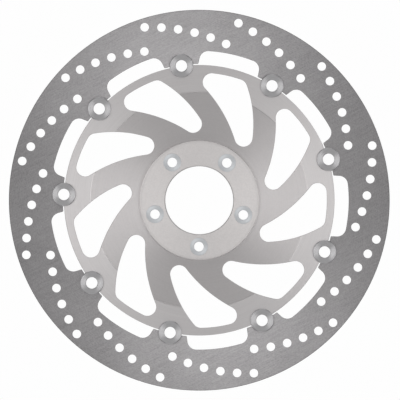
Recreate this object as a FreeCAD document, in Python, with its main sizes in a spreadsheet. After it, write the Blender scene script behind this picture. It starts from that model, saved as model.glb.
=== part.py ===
"""Floating motorcycle brake disc: friction ring, carrier and nine sprung drive bobbins.

The disc turns about Y. Its front face looks along -Y, and the hub's back face, which bolts to
the wheel, is the plane Y = 0. A height is a distance in front of that plane, so Y = -height.
Angles are measured in the XZ plane from +X towards +Z.
"""
import FreeCAD, Part
import math
import os
import Sketcher
from FreeCAD import Vector

SIZES = {
    # friction ring
    "ring_diameter": 320.0,
    "ring_thickness": 5.0,
    "ring_edge_break": 0.4,
    "lug_inner_diameter": 229.2,
    "lug_corner_radius": 0.8,
    "slot_diameter": 251.1,
    "slot_width": 51.0,
    "slot_corner_radius": 7.5,
    "drill_diameter": 7.3,
    "drill_rows": 12,
    "drills_per_row": 6,
    "drill_angle": 20.69,
    "drill_first_radius": 133.2,
    "drill_radial_step": 3.835,
    "drill_spacing": 14.1,
    # carrier
    "bore_diameter": 57.0,
    "bore_chamfer": 0.8,
    "hub_diameter": 100.4,
    "hub_thickness": 7.2,
    "hub_edge_radius": 0.6,
    "hub_back_edge": 0.4,
    "web_thickness": 4.4,
    "step_diameter": 181.0,
    "step_slope": 1.2,
    "rim_diameter": 227.3,
    "rim_back": 0.7,
    "rim_edge_break": 0.3,
    "window_outer_radius": 107.2,
    "window_corner_radius": 7.5,
    "lead_centre_radius": 83.0,
    "lead_centre_angle": 161.87,
    "lead_arc_radius": 98.13,
    "trail_centre_radius": 82.1,
    "trail_centre_angle": 201.28,
    "trail_arc_radius": 115.8,
    # bolt holes and their steel bushes
    "bolt_count": 5,
    "bolt_circle_diameter": 78.0,
    "bolt_angle": -90.0,
    "bolt_hole_diameter": 8.1,
    "bush_diameter": 15.0,
    "bush_edge_break": 0.15,
    "bush_mouth_chamfer": 0.3,
    # bobbins and what holds them
    "bobbin_count": 9,
    "bobbin_angle": 98.0,
    "bobbin_circle_radius": 113.9,
    "bobbin_hole_diameter": 9.6,
    "bobbin_mouth_chamfer": 0.6,
    "flange_diameter": 19.7,
    "flange_thickness": 1.6,
    "flange_edge_break": 0.6,
    "shank_diameter": 15.9,
    "shank_clearance": 0.05,
    "groove_diameter": 15.1,
    "groove_width": 1.1,
    "tail_length": 1.0,
    "tail_chamfer": 0.4,
    "spring_height": 0.84,
    "spring_strip": 0.4,
    "spring_gap": 0.03,
    "spring_waves": 3,
    "spring_inner_diameter": 16.3,
    "spring_outer_diameter": 19.6,
    "washer_inner_diameter": 16.1,
    "washer_outer_diameter": 20.0,
    "washer_thickness": 1.0,
    "washer_edge_break": 0.2,
    "circlip_inner_diameter": 15.2,
    "circlip_outer_diameter": 19.2,
    "circlip_offset": 0.35,
    "circlip_thickness": 1.0,
    "circlip_gap": 2.4,
    "ear_radius": 1.7,
    "ear_distance": 9.3,
    "ear_spread": 2.9,
    "ear_hole_diameter": 1.7,
}

# Heights, as formulas on the sheet's names.
RIM_BACK = "Sizes.rim_back"
RIM_FRONT = "(Sizes.rim_back + Sizes.ring_thickness)"
WEB_FRONT = "(Sizes.rim_back + Sizes.web_thickness)"
HUB_FRONT = "Sizes.hub_thickness"
FLANGE_FRONT = "(Sizes.rim_back + Sizes.ring_thickness + Sizes.flange_thickness)"
WASHER_FRONT = "(Sizes.rim_back - Sizes.spring_height - 2 * Sizes.spring_gap)"
WASHER_BACK = f"({WASHER_FRONT} - Sizes.washer_thickness)"
GROOVE_BACK = f"({WASHER_BACK} - Sizes.groove_width)"
TAIL_BACK = f"({GROOVE_BACK} - Sizes.tail_length)"

BOBBIN_PITCH = "360 / Sizes.bobbin_count"
SAME_PLACE = 1e-3

doc = FreeCAD.newDocument("brake_disc")
sheet = doc.addObject("Spreadsheet::Sheet", "Sizes")
for row, (alias, value) in enumerate(SIZES.items(), start=1):
    sheet.set(f"A{row}", alias)
    sheet.set(f"B{row}", str(value))
    sheet.setAlias(f"B{row}", alias)
doc.recompute()


def number(formula):
    """The value of a formula on the sheet's names."""
    return float(sheet.evalExpression(formula.replace("Sizes.", "")))


def polar(radius, degrees):
    """The point of a sketch at a radius and an angle."""
    angle = math.radians(degrees)
    return Vector(radius * math.cos(angle), radius * math.sin(angle), 0)


# ---------------------------------------------------------------- sketches and features


def origin_feature(body, role):
    """One of a body's own origin planes or axes."""
    return next(item for item in body.Origin.OriginFeatures if item.Role == role)


def new_body(label):
    body = doc.addObject("PartDesign::Body", label)
    body.Label = label
    return body


def new_sketch(body, name, plane="XZ_Plane", height="0", turn="0"):
    """An empty sketch on an origin plane. On XZ it faces the front, raised by height and turned."""
    sketch = body.newObject("Sketcher::SketchObject", f"{body.Name}_{name}")
    sketch.AttachmentSupport = (origin_feature(body, plane), "")
    sketch.MapMode = "FlatFace"
    sketch.setExpression("AttachmentOffset.Base.z", height)
    sketch.setExpression("AttachmentOffset.Rotation.Angle", turn)
    return sketch


def bind(sketch, constraint, formula):
    """Add a dimension to a sketch and bind it to a formula."""
    index = sketch.addConstraint(constraint)
    sketch.setExpression(f"Constraints[{index}]", formula)


def pin_point(sketch, geometry, end, x_formula, y_formula):
    """Bind a point of a sketch to its two coordinates."""
    bind(sketch, Sketcher.Constraint("DistanceX", -1, 1, geometry, end, number(x_formula)), x_formula)
    bind(sketch, Sketcher.Constraint("DistanceY", -1, 1, geometry, end, number(y_formula)), y_formula)


def draw_circle(sketch, x_formula, y_formula, radius_formula):
    centre = Vector(number(x_formula), number(y_formula), 0)
    radius = number(radius_formula)
    geometry = sketch.addGeometry(Part.Circle(centre, Vector(0, 0, 1), radius), False)
    bind(sketch, Sketcher.Constraint("Radius", geometry, radius), radius_formula)
    pin_point(sketch, geometry, 3, x_formula, y_formula)
    return geometry


def draw_polygon(sketch, corners):
    """A closed outline of straight lines through corners, each a pair of formulas."""
    points = [Vector(number(x), number(y), 0) for x, y in corners]
    lines = []
    for start, end in zip(points, points[1:] + points[:1]):
        lines.append(sketch.addGeometry(Part.LineSegment(start, end), False))
    for line, following in zip(lines, lines[1:] + lines[:1]):
        sketch.addConstraint(Sketcher.Constraint("Coincident", line, 2, following, 1))
    for line, (x, y) in zip(lines, corners):
        pin_point(sketch, line, 1, x, y)


def draw_profile(body, name, corners):
    """A half section for turning about Y. Each corner is a radius and a height."""
    sketch = new_sketch(body, name, "XY_Plane")
    draw_polygon(sketch, [(radius, f"-{height}") for radius, height in corners])
    return sketch


def revolve(body, sketch):
    feature = body.newObject("PartDesign::Revolution", f"{sketch.Name}_turned")
    feature.Profile = sketch
    feature.ReferenceAxis = (sketch, ["V_Axis"])
    feature.Angle = 360
    return feature


def pad(body, sketch, length):
    """Raise a sketch towards the front."""
    feature = body.newObject("PartDesign::Pad", f"{sketch.Name}_pad")
    feature.Profile = sketch
    feature.setExpression("Length", length)
    doc.recompute()
    return feature


def cut_through(body, sketch):
    """Cut a sketch that lies at the front right through to the back."""
    before = body.Shape.Volume
    feature = body.newObject("PartDesign::Pocket", f"{sketch.Name}_cut")
    feature.Profile = sketch
    feature.Type = "ThroughAll"
    doc.recompute()
    if body.Shape.Volume > before - 1:
        raise RuntimeError(f"{feature.Name} cut nothing")
    return feature


def repeat_round(body, feature, count):
    """Repeat a feature evenly about the disc's axis."""
    before = body.Shape.Volume
    pattern = body.newObject("PartDesign::PolarPattern", f"{feature.Name}_ring")
    pattern.Originals = [feature]
    pattern.Axis = (origin_feature(body, "Y_Axis"), [""])
    pattern.Angle = 360
    pattern.setExpression("Occurrences", count)
    body.Tip = pattern
    doc.recompute()
    if body.Shape.Volume > before - 1:
        raise RuntimeError(f"{pattern.Name} cut nothing")
    return pattern


def flat_faces(shape, *heights):
    """Names of the faces that are flat, face the front or the back and lie at one of these heights."""
    names = []
    for index, face in enumerate(shape.Faces, start=1):
        box = face.BoundBox
        if box.YLength < SAME_PLACE and any(abs(box.YMin + height) < SAME_PLACE for height in heights):
            names.append(f"Face{index}")
    return names


def dress(body, kind, names, size):
    """Chamfer or fillet the named edges or faces of a body."""
    base = body.Tip
    feature = body.newObject(f"PartDesign::{kind}", f"{base.Name}_{kind.lower()}")
    feature.Base = (base, names)
    feature.setExpression("Radius" if kind == "Fillet" else "Size", size)
    doc.recompute()
    return feature


# ---------------------------------------------------------------- friction ring


def draw_slot(sketch):
    """The gap between two lugs: parallel sides, rounded outer corners, open towards the carrier."""
    outer, half_width = number("Sizes.slot_diameter / 2"), number("Sizes.slot_width / 2")
    corner, mouth = number("Sizes.slot_corner_radius"), number("Sizes.rim_diameter / 2 - 5")
    across = half_width - corner
    up = math.sqrt((outer - corner) ** 2 - across ** 2)
    lean = math.degrees(math.atan2(up, across))

    def arc(centre, radius, start, end):
        circle = Part.Circle(centre, Vector(0, 0, 1), radius)
        return sketch.addGeometry(Part.ArcOfCircle(circle, math.radians(start), math.radians(end)), False)

    def line(start, end):
        return sketch.addGeometry(Part.LineSegment(start, end), False)

    right = line(Vector(half_width, mouth, 0), Vector(half_width, up, 0))
    right_corner = arc(Vector(across, up, 0), corner, 0, lean)
    roof = arc(Vector(0, 0, 0), outer, lean, 180 - lean)
    left_corner = arc(Vector(-across, up, 0), corner, 180 - lean, 180)
    left = line(Vector(-half_width, up, 0), Vector(-half_width, mouth, 0))
    floor = line(Vector(-half_width, mouth, 0), Vector(half_width, mouth, 0))

    chain = [right, right_corner, roof, left_corner, left]
    for first, second in zip(chain, chain[1:]):
        sketch.addConstraint(Sketcher.Constraint("Tangent", first, 2, second, 1))
    sketch.addConstraint(Sketcher.Constraint("Coincident", left, 2, floor, 1))
    sketch.addConstraint(Sketcher.Constraint("Coincident", floor, 2, right, 1))
    sketch.addConstraint(Sketcher.Constraint("Coincident", roof, 3, -1, 1))
    sketch.addConstraint(Sketcher.Constraint("Equal", right_corner, left_corner))
    sketch.addConstraint(Sketcher.Constraint("Vertical", right))
    sketch.addConstraint(Sketcher.Constraint("Vertical", left))
    sketch.addConstraint(Sketcher.Constraint("Horizontal", floor))
    bind(sketch, Sketcher.Constraint("Radius", roof, outer), "Sizes.slot_diameter / 2")
    bind(sketch, Sketcher.Constraint("Radius", right_corner, corner), "Sizes.slot_corner_radius")
    pin_point(sketch, floor, 2, "Sizes.slot_width / 2", "Sizes.rim_diameter / 2 - 5")
    bind(sketch, Sketcher.Constraint("DistanceX", -1, 1, floor, 1, -half_width), "-Sizes.slot_width / 2")


def draw_drill_row(sketch):
    """A slanted row of holes, evenly spaced, each a step further out. The first lies on the x axis."""
    spacing = number("Sizes.drill_spacing")
    first = last = None
    for index in range(int(SIZES["drills_per_row"])):
        distance = f"(Sizes.drill_first_radius + {index} * Sizes.drill_radial_step)"
        radius = number(distance)
        if last is None:
            angle = 0.0
        else:
            inner = number(f"({distance} - Sizes.drill_radial_step)")
            cosine = (inner ** 2 + radius ** 2 - spacing ** 2) / (2 * inner * radius)
            angle += math.degrees(math.acos(cosine))
        circle = Part.Circle(polar(radius, angle), Vector(0, 0, 1), number("Sizes.drill_diameter / 2"))
        hole = sketch.addGeometry(circle, False)
        bind(sketch, Sketcher.Constraint("Distance", -1, 1, hole, 3, radius), distance)
        if last is None:
            first = hole
            sketch.addConstraint(Sketcher.Constraint("PointOnObject", hole, 3, -1))
            bind(sketch, Sketcher.Constraint("Radius", hole, circle.Radius), "Sizes.drill_diameter / 2")
        else:
            bind(sketch, Sketcher.Constraint("Distance", last, 3, hole, 3, spacing), "Sizes.drill_spacing")
            sketch.addConstraint(Sketcher.Constraint("Equal", first, hole))
        last = hole


def cut_bobbin_seats(body):
    """Holes for the bobbins' shanks. On the ring's and the carrier's edge they are half holes."""
    seats = new_sketch(body, "seats", height=HUB_FRONT, turn="Sizes.bobbin_angle")
    draw_circle(seats, "Sizes.bobbin_circle_radius", "0",
                "Sizes.shank_diameter / 2 + Sizes.shank_clearance")
    repeat_round(body, cut_through(body, seats), "Sizes.bobbin_count")


def upright_edges(shape, x, z):
    """Names of the straight edges along Y that pass through a point of the XZ plane."""
    names = []
    for index, edge in enumerate(shape.Edges, start=1):
        box = edge.BoundBox
        upright = box.XLength < SAME_PLACE and box.ZLength < SAME_PLACE
        if upright and math.hypot(box.XMin - x, box.ZMin - z) < SAME_PLACE:
            names.append(f"Edge{index}")
    return names


def round_lug_corners(body):
    """Round the inner corners of the lugs, where a slot's side meets the lug's inner arc."""
    radius = number("Sizes.lug_inner_diameter / 2")
    lean = math.degrees(math.asin(number("Sizes.slot_width / 2") / radius))
    names = []
    for index in range(int(SIZES["bobbin_count"])):
        middle = number(f"Sizes.bobbin_angle + ({index} + 0.5) * {BOBBIN_PITCH}")
        for angle in (middle - lean, middle + lean):
            corner = polar(radius, angle)
            names += upright_edges(body.Shape, corner.x, corner.y)
    dress(body, "Fillet", names, "Sizes.lug_corner_radius")


def make_friction_ring():
    body = new_body("friction_ring")
    blank = new_sketch(body, "blank", height=RIM_BACK)
    draw_circle(blank, "0", "0", "Sizes.ring_diameter / 2")
    draw_circle(blank, "0", "0", "Sizes.lug_inner_diameter / 2")
    pad(body, blank, "Sizes.ring_thickness")

    slot = new_sketch(body, "slot", height=HUB_FRONT, turn=f"Sizes.bobbin_angle - 90 + 0.5 * {BOBBIN_PITCH}")
    draw_slot(slot)
    repeat_round(body, cut_through(body, slot), "Sizes.bobbin_count")
    round_lug_corners(body)

    drills = new_sketch(body, "drills", height=HUB_FRONT, turn="Sizes.drill_angle")
    draw_drill_row(drills)
    repeat_round(body, cut_through(body, drills), "Sizes.drill_rows")
    cut_bobbin_seats(body)
    faces = flat_faces(body.Shape, number(RIM_BACK), number(RIM_FRONT))
    dress(body, "Chamfer", faces, "Sizes.ring_edge_break")


# ---------------------------------------------------------------- carrier


def meeting_point(centre_a, radius_a, centre_b, radius_b, near):
    """Where two circles meet, on the side that is nearer to a point."""
    between = centre_b - centre_a
    apart = between.Length
    along = (radius_a ** 2 - radius_b ** 2 + apart ** 2) / (2 * apart)
    across = math.sqrt(radius_a ** 2 - along ** 2)
    direction = between / apart
    foot = centre_a + direction * along
    side = Vector(-direction.y, direction.x, 0) * across
    return min((foot + side, foot - side), key=lambda point: (point - near).Length)


def bearing(centre, point):
    return math.atan2(point.y - centre.y, point.x - centre.x)


def draw_window(sketch):
    """A swept window between two spokes, with bobbin 1 straight above the axis.

    It lies inside the outer circle and inside the leading spoke's circle, and outside the
    trailing spoke's circle, and its three corners are rounded.
    """
    origin = Vector(0, 0, 0)
    lead = polar(SIZES["lead_centre_radius"], SIZES["lead_centre_angle"])
    trail = polar(SIZES["trail_centre_radius"], SIZES["trail_centre_angle"])
    corner = SIZES["window_corner_radius"]
    outer_radius, lead_radius = SIZES["window_outer_radius"], SIZES["lead_arc_radius"]
    trail_radius = SIZES["trail_arc_radius"]

    # The corners' centres lie a corner radius inside the window from both circles they touch.
    top = polar(outer_radius, SIZES["lead_centre_angle"] / 2)
    lead_corner = meeting_point(origin, outer_radius - corner, lead, lead_radius - corner, top)
    trail_corner = meeting_point(origin, outer_radius - corner, trail, trail_radius + corner, top)
    tip = meeting_point(lead, lead_radius - corner, trail, trail_radius + corner, top)

    def arc(centre, radius, start, end):
        """An anticlockwise arc between the bearings of two points."""
        circle = Part.Circle(centre, Vector(0, 0, 1), radius)
        return sketch.addGeometry(Part.ArcOfCircle(circle, start, end), False)

    roof = arc(origin, outer_radius, bearing(origin, lead_corner), bearing(origin, trail_corner))
    lead_arc = arc(lead, lead_radius, bearing(lead, tip), bearing(lead, lead_corner))
    trail_arc = arc(trail, trail_radius, bearing(trail, tip), bearing(trail, trail_corner))
    lead_round = arc(lead_corner, corner, bearing(lead, lead_corner), bearing(origin, lead_corner))
    trail_round = arc(trail_corner, corner, bearing(origin, trail_corner), bearing(trail_corner, trail))
    tip_round = arc(tip, corner, bearing(tip, trail), bearing(lead, tip))

    # Each join is an end of a big arc, 1 or 2, against an end of a corner.
    joins = [(roof, 1, lead_round, 2), (lead_arc, 2, lead_round, 1), (lead_arc, 1, tip_round, 2),
             (trail_arc, 1, tip_round, 1), (trail_arc, 2, trail_round, 2), (roof, 2, trail_round, 1)]
    for first, first_end, second, second_end in joins:
        sketch.addConstraint(Sketcher.Constraint("Tangent", first, first_end, second, second_end))
    sketch.addConstraint(Sketcher.Constraint("Coincident", roof, 3, -1, 1))
    for geometry, name in ((lead_arc, "lead"), (trail_arc, "trail")):
        spot = f"Sizes.{name}_centre_radius * {{}}(Sizes.{name}_centre_angle)"
        pin_point(sketch, geometry, 3, spot.format("cos"), spot.format("sin"))
        size = f"Sizes.{name}_arc_radius"
        bind(sketch, Sketcher.Constraint("Radius", geometry, number(size)), size)
    bind(sketch, Sketcher.Constraint("Radius", roof, outer_radius), "Sizes.window_outer_radius")
    bind(sketch, Sketcher.Constraint("Radius", tip_round, corner), "Sizes.window_corner_radius")
    sketch.addConstraint(Sketcher.Constraint("Equal", tip_round, lead_round))
    sketch.addConstraint(Sketcher.Constraint("Equal", tip_round, trail_round))


def make_carrier():
    """The aluminium centre: a raised hub, a thinner web, and a rim as thick as the ring."""
    body = new_body("carrier")
    bore, hub, step, rim = (f"Sizes.{name}_diameter / 2" for name in ("bore", "hub", "step", "rim"))
    chamfer, edge, back_edge = "Sizes.bore_chamfer", "Sizes.rim_edge_break", "Sizes.hub_back_edge"
    revolve(body, draw_profile(body, "section", [
        (bore, chamfer),
        (bore, f"({HUB_FRONT} - {chamfer})"),
        (f"{bore} + {chamfer}", HUB_FRONT),
        (hub, HUB_FRONT),
        (hub, WEB_FRONT),
        (step, WEB_FRONT),
        (f"{step} + Sizes.step_slope", RIM_FRONT),
        (f"{rim} - {edge}", RIM_FRONT),
        (rim, f"({RIM_FRONT} - {edge})"),
        (rim, f"({RIM_BACK} + {edge})"),
        (f"{rim} - {edge}", RIM_BACK),
        (hub, RIM_BACK),
        (f"{hub} - {back_edge}", "0"),
        (f"{bore} + {chamfer}", "0"),
    ]))
    doc.recompute()
    front_edge = [f"Edge{index}" for index, ring in enumerate(body.Shape.Edges, start=1)
                  if abs(ring.BoundBox.XMax - number(hub)) < SAME_PLACE
                  and abs(ring.BoundBox.YMax + number(HUB_FRONT)) < SAME_PLACE]
    dress(body, "Fillet", front_edge, "Sizes.hub_edge_radius")

    window = new_sketch(body, "window", height=HUB_FRONT, turn="Sizes.bobbin_angle - 90")
    draw_window(window)
    repeat_round(body, cut_through(body, window), "Sizes.bobbin_count")
    cut_bobbin_seats(body)
    holes = new_sketch(body, "bolt_holes", height=HUB_FRONT, turn="Sizes.bolt_angle")
    draw_circle(holes, "Sizes.bolt_circle_diameter / 2", "0", "Sizes.bush_diameter / 2")
    repeat_round(body, cut_through(body, holes), "Sizes.bolt_count")


# ---------------------------------------------------------------- small parts, each at its own place


def place(body, radius, angle):
    """Turn a body that was made about Y by an angle, and carry it out to a radius at that angle."""
    body.setExpression("Placement.Rotation.Axis.x", "0")
    body.setExpression("Placement.Rotation.Axis.y", "-1")
    body.setExpression("Placement.Rotation.Axis.z", "0")
    body.setExpression("Placement.Rotation.Angle", angle)
    body.setExpression("Placement.Base.x", f"{radius} * cos({angle})")
    body.setExpression("Placement.Base.z", f"{radius} * sin({angle})")


def make_bolt_bush(index, angle):
    """A steel bush through the hub, flush with both of its faces, with a chamfered mouth."""
    body = new_body(f"bolt_bush_{index}")
    inner, outer = "Sizes.bolt_hole_diameter / 2", "Sizes.bush_diameter / 2"
    mouth, edge = "Sizes.bush_mouth_chamfer", "Sizes.bush_edge_break"
    revolve(body, draw_profile(body, "section", [
        (inner, "0"),
        (inner, f"({HUB_FRONT} - {mouth})"),
        (f"{inner} + {mouth}", HUB_FRONT),
        (f"{outer} - {edge}", HUB_FRONT),
        (outer, f"({HUB_FRONT} - {edge})"),
        (outer, "0"),
    ]))
    place(body, "Sizes.bolt_circle_diameter / 2", angle)


def make_bobbin(index, angle):
    """A hollow button: a flange on the front, a shank through the two half holes, a circlip groove."""
    body = new_body(f"bobbin_{index}")
    inner, flange = "Sizes.bobbin_hole_diameter / 2", "Sizes.flange_diameter / 2"
    shank, groove = "Sizes.shank_diameter / 2", "Sizes.groove_diameter / 2"
    mouth, edge, tail = "Sizes.bobbin_mouth_chamfer", "Sizes.flange_edge_break", "Sizes.tail_chamfer"
    revolve(body, draw_profile(body, "section", [
        (inner, f"({TAIL_BACK} + {tail})"),
        (inner, f"({FLANGE_FRONT} - {mouth})"),
        (f"{inner} + {mouth}", FLANGE_FRONT),
        (f"{flange} - {edge}", FLANGE_FRONT),
        (flange, f"({FLANGE_FRONT} - {edge})"),
        (flange, RIM_FRONT),
        (shank, RIM_FRONT),
        (shank, WASHER_BACK),
        (groove, WASHER_BACK),
        (groove, GROOVE_BACK),
        (shank, GROOVE_BACK),
        (shank, f"({TAIL_BACK} + {tail})"),
        (f"{shank} - {tail}", TAIL_BACK),
        (f"{inner} + {tail}", TAIL_BACK),
    ]))
    place(body, "Sizes.bobbin_circle_radius", angle)


def make_flat_washer(index, angle):
    body = new_body(f"flat_washer_{index}")
    inner, outer = "Sizes.washer_inner_diameter / 2", "Sizes.washer_outer_diameter / 2"
    edge = "Sizes.washer_edge_break"
    revolve(body, draw_profile(body, "section", [
        (inner, WASHER_FRONT),
        (f"{outer} - {edge}", WASHER_FRONT),
        (outer, f"({WASHER_FRONT} - {edge})"),
        (outer, f"({WASHER_BACK} + {edge})"),
        (f"{outer} - {edge}", WASHER_BACK),
        (inner, WASHER_BACK),
    ]))
    place(body, "Sizes.bobbin_circle_radius", angle)


def make_circlip(index, angle):
    """An external circlip: widest opposite its gap, with a drilled ear on each side of the gap."""
    body = new_body(f"circlip_{index}")
    back = f"{WASHER_BACK} - Sizes.circlip_thickness"
    ear_x = "sqrt(Sizes.ear_distance^2 - Sizes.ear_spread^2)"
    disc = new_sketch(body, "disc", height=back)
    draw_circle(disc, "-Sizes.circlip_offset", "0", "Sizes.circlip_outer_diameter / 2")
    pad(body, disc, "Sizes.circlip_thickness")
    for name, side in (("upper", "Sizes.ear_spread"), ("lower", "-Sizes.ear_spread")):
        ear = new_sketch(body, f"{name}_ear", height=back)
        draw_circle(ear, ear_x, side, "Sizes.ear_radius")
        pad(body, ear, "Sizes.circlip_thickness")
    opening = new_sketch(body, "opening", height="0")
    draw_circle(opening, "0", "0", "Sizes.circlip_inner_diameter / 2")
    cut_through(body, opening)
    gap = new_sketch(body, "gap", height="0")
    half_gap, reach = "Sizes.circlip_gap / 2", "Sizes.ear_distance + 2 * Sizes.ear_radius"
    draw_polygon(gap, [("0", f"-{half_gap}"), (reach, f"-{half_gap}"), (reach, half_gap), ("0", half_gap)])
    cut_through(body, gap)
    eyes = new_sketch(body, "eyes", height="0")
    for side in ("Sizes.ear_spread", "-Sizes.ear_spread"):
        draw_circle(eyes, ear_x, side, "Sizes.ear_hole_diameter / 2")
    cut_through(body, eyes)
    place(body, "Sizes.bobbin_circle_radius", angle)


def make_wave_washer(index, angle):
    """A strip ring bent into waves about Y, pressed between the ring and the flat washer."""
    waves, strip = number("Sizes.spring_waves"), number("Sizes.spring_strip")
    swing = (number("Sizes.spring_height") - strip) / 2
    middle = -(number(RIM_BACK) - number("Sizes.spring_gap") - number("Sizes.spring_height") / 2)
    points_per_wave = 8
    steps = int(waves * points_per_wave)

    def wavy_circle(radius, lift):
        points = []
        for step in range(steps):
            turn = 2 * math.pi * step / steps
            height = middle + lift + swing * math.cos(waves * turn)
            points.append(Vector(radius * math.cos(turn), height, radius * math.sin(turn)))
        curve = Part.BSplineCurve()
        curve.interpolate(Points=points, PeriodicFlag=True)
        return curve.toShape()

    inner, outer = number("Sizes.spring_inner_diameter / 2"), number("Sizes.spring_outer_diameter / 2")
    inside_back, inside_front = wavy_circle(inner, strip / 2), wavy_circle(inner, -strip / 2)
    outside_back, outside_front = wavy_circle(outer, strip / 2), wavy_circle(outer, -strip / 2)
    pairs = [(inside_back, outside_back), (inside_front, outside_front),
             (inside_back, inside_front), (outside_back, outside_front)]
    shell = Part.makeShell([Part.makeRuledSurface(one, other) for one, other in pairs])
    shell.sewShape()
    solid = Part.makeSolid(shell)
    if solid.Volume < 0:
        solid.reverse()

    washer = doc.addObject("Part::Feature", f"wave_washer_{index}")
    washer.Label = washer.Name
    washer.Shape = solid
    place(washer, "Sizes.bobbin_circle_radius", angle)


def make_small_parts():
    """The bushes round the hub, and at each bobbin the parts that turn with it."""
    for index in range(int(SIZES["bolt_count"])):
        make_bolt_bush(index + 1, f"(Sizes.bolt_angle + {index} * 360 / Sizes.bolt_count)")
    for index in range(int(SIZES["bobbin_count"])):
        angle = f"(Sizes.bobbin_angle + {index} * {BOBBIN_PITCH})"
        for make in (make_bobbin, make_wave_washer, make_flat_washer, make_circlip):
            make(index + 1, angle)


# ---------------------------------------------------------------- checks and files


def sub_parts():
    """The objects that are pieces of the disc: every body, and every washer made as a plain shape."""
    return [item for item in doc.Objects if item.TypeId in ("PartDesign::Body", "Part::Feature")]


def check_document():
    for item in doc.Objects:
        if {"Invalid", "Error"} & set(item.State):
            raise RuntimeError(f"{item.Name} failed: {item.State}")
    for item in sub_parts():
        shape = item.Shape
        if shape.isNull() or not shape.isValid() or len(shape.Solids) != 1:
            raise RuntimeError(f"{item.Label} isn't one valid solid")


make_friction_ring()
make_carrier()
make_small_parts()
doc.recompute()
check_document()
os.makedirs("parts", exist_ok=True)
for part in sub_parts():
    part.Shape.exportStep(os.path.join("parts", f"{part.Label}.step"))
    print(f"{part.Label:16} {part.Shape.Volume:10.1f} mm3  Y {part.Shape.BoundBox.YMin:.2f} to "
          f"{part.Shape.BoundBox.YMax:.2f}")
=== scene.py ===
"""The looks of a floating motorcycle brake disc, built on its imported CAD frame.

The disc's axis is Y and its front face looks along -Y. A height is a distance in front of the
hub's back face, so Y = -height. Sizes are in millimetres and angles in degrees, measured in the
XZ plane from +X towards +Z; meshes are in metres.
"""
import math

import bmesh
import bpy
import numpy as np
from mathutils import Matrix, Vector
from mathutils.geometry import delaunay_2d_cdt


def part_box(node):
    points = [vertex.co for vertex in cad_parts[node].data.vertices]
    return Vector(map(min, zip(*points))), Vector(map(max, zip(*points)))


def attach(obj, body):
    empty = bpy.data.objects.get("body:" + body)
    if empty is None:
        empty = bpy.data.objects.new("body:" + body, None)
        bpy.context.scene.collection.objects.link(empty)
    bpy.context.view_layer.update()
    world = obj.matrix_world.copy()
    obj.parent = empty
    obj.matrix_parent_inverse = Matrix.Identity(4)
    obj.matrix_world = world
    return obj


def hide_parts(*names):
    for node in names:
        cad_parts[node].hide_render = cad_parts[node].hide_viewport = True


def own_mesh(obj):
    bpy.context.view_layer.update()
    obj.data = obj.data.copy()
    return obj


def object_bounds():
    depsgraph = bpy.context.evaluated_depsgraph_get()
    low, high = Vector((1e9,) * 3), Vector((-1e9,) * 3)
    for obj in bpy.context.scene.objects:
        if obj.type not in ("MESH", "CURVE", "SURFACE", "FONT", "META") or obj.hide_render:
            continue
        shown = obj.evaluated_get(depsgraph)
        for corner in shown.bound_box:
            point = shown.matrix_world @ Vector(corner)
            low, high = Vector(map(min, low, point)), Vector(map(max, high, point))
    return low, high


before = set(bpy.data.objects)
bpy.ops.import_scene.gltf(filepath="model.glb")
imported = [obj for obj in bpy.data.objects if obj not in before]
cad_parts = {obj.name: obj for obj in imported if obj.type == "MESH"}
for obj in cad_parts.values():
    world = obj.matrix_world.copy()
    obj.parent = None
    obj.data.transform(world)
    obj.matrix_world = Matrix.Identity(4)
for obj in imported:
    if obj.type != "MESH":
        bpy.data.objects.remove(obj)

CAD_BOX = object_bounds()
MM = 0.001


# ---------------------------------------------------------------- sizes


def heights(node):
    """The heights of a CAD node's back and front."""
    low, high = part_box(node)
    return -high.y / MM, -low.y / MM


def radius_of(node):
    """How far a CAD node reaches from the disc's axis, on its shortest side."""
    low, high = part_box(node)
    return min(-low.x, -low.z, high.x, high.z) / MM


RING_BACK, RING_FRONT = heights("friction_ring")
HUB_BACK, HUB_FRONT = heights("carrier")
BOBBIN_BACK, BOBBIN_FRONT = heights("bobbin_1")
WASHER_BACK, WASHER_FRONT = heights("flat_washer_1")
CLIP_BACK, CLIP_FRONT = heights("circlip_1")
SPRING_BACK, SPRING_FRONT = heights("wave_washer_1")

BOBBINS, BOBBIN_ANGLE, BOBBIN_CIRCLE = 9, 98.0, 113.9
BOBBIN_PITCH = 360 / BOBBINS
SEAT_RADIUS = 8.0

RING_RADIUS, RING_EDGE = radius_of("friction_ring"), 0.4
LUG_RADIUS, LUG_CORNER = 114.6, 0.8
SLOT_RADIUS, SLOT_HALF_WIDTH, SLOT_CORNER = 125.55, 25.5, 7.5
DRILL_RADIUS, DRILL_ROWS, DRILLS_PER_ROW = 3.65, 12, 6
DRILL_ANGLE, DRILL_FIRST, DRILL_STEP, DRILL_SPACING = 20.69, 133.2, 3.835, 14.1

BORE_RADIUS, BORE_CHAMFER = 28.5, 0.8
HUB_RADIUS, HUB_ROUND, HUB_BACK_EDGE = 50.2, 0.6, 0.4
HUB_FOOT = 0.3
WEB_FRONT = RING_BACK + 4.4
STEP_RADIUS, STEP_SLOPE = 90.5, 1.2
RIM_RADIUS = 113.65
WINDOW_RADIUS, WINDOW_CORNER = 107.2, 7.5
LEAD_CENTRE, LEAD_RADIUS = (83.0, 161.87), 98.13
TRAIL_CENTRE, TRAIL_RADIUS = (82.1, 201.28), 115.8
BOLTS, BOLT_ANGLE, BOLT_CIRCLE = 5, -90.0, 39.0
BOLT_HOLE_RADIUS, BUSH_RADIUS = 4.05, 7.5

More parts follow.
